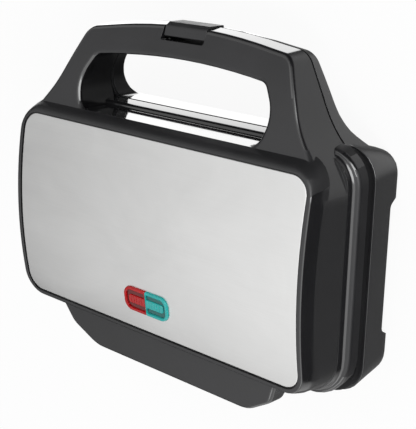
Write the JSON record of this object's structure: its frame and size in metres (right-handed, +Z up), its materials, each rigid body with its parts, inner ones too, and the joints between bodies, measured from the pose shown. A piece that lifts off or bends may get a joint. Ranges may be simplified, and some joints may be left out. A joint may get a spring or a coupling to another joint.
{
  "type": "sandwich toaster",
  "caption": "Countertop sandwich toaster: crowned hinged lid with a brushed steel panel over a legged base, split carrying handle with a clip, pocketed plates inside.",
  "frame": {"origin": "middle of the overall footprint, on the plane that the four feet stand on", "axes": "+X to the right as seen from the handle, +Y from the handle towards the hinge, +Z up from the feet to the lid"},
  "size_m": [0.254, 0.2204, 0.0793],
  "materials": {
    "black_plastic": "satin",
    "dark_plastic": "satin",
    "steel": "brushed",
    "red_lens": "gloss",
    "green_lens": "gloss",
    "white_plastic": "satin",
    "lamp_glass": "clear",
    "nonstick": "satin coated",
    "element_steel": "dull",
    "sheet_metal": "satin",
    "zinc_steel": "zinc plated",
    "pin_steel": "drawn",
    "sleeve": "matte",
    "rubber": "matte"
  },
  "bodies": {
    "base": {"base_shell": "black_plastic", "base_surround": "dark_plastic", "base_screws": "zinc_steel", "lower_plate": "nonstick", "lower_element": "element_steel", "lower_clamp": "zinc_steel", "lower_shield": "sheet_metal", "lower_screws": "zinc_steel", "thermostat": "white_plastic", "thermal_fuse": "white_plastic", "terminal_block": "white_plastic", "base_leads": "sleeve", "cord_gland": "rubber", "hinge_pins": "pin_steel", "feet": "rubber"},
    "lid": {"lid_shell": "black_plastic", "steel_panel": "steel", "red_lens": "red_lens", "green_lens": "green_lens", "lamp_holder": "white_plastic", "neon_lamps": "lamp_glass", "lid_surround": "dark_plastic", "lid_screws": "zinc_steel", "upper_plate": "nonstick", "upper_element": "element_steel", "upper_clamp": "zinc_steel", "upper_shield": "sheet_metal", "upper_screws": "zinc_steel", "lid_leads": "sleeve", "latch_pin": "pin_steel"},
    "clip": {"latch_clip": "black_plastic"}
  },
  "joints": [
    {"name": "lid_hinge", "type": "hinge", "parent": "base", "child": "lid", "pos_m": [0, 0.095, 0.0335], "axis": [-1, 0, 0], "range_deg": [0, 100]},
    {"name": "clip_pivot", "type": "hinge", "parent": "lid", "child": "clip", "pos_m": [0, -0.1051, 0.039], "axis": [-1, 0, 0], "range_deg": [0, 14]}
  ]
}
